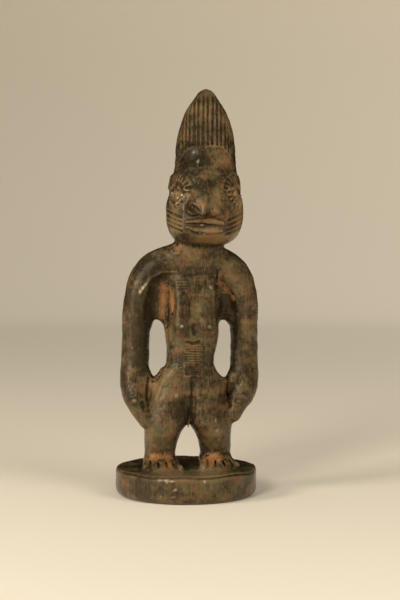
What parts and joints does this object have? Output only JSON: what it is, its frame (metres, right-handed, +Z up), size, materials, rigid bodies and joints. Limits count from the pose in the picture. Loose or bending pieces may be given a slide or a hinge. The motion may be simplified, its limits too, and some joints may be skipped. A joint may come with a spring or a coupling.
{
  "type": "ibeji figure",
  "caption": "Carved wooden twin figure of a standing woman with a tall fluted hairdress, her arms hanging in open loops, on a round base.",
  "frame": {"origin": "middle of the flat underside of the base", "axes": "+Z up towards the tip of the hair, -Y towards the front of the figure, +X towards the figure's left hand"},
  "size_m": [0.0935, 0.091, 0.26],
  "materials": {
    "carved_wood": "dark, handled wood with a semi-gloss patina and red-brown dirt in the hollows"
  },
  "bodies": {
    "root": {"ibeji_figure": "carved_wood"}
  },
  "joints": []
}
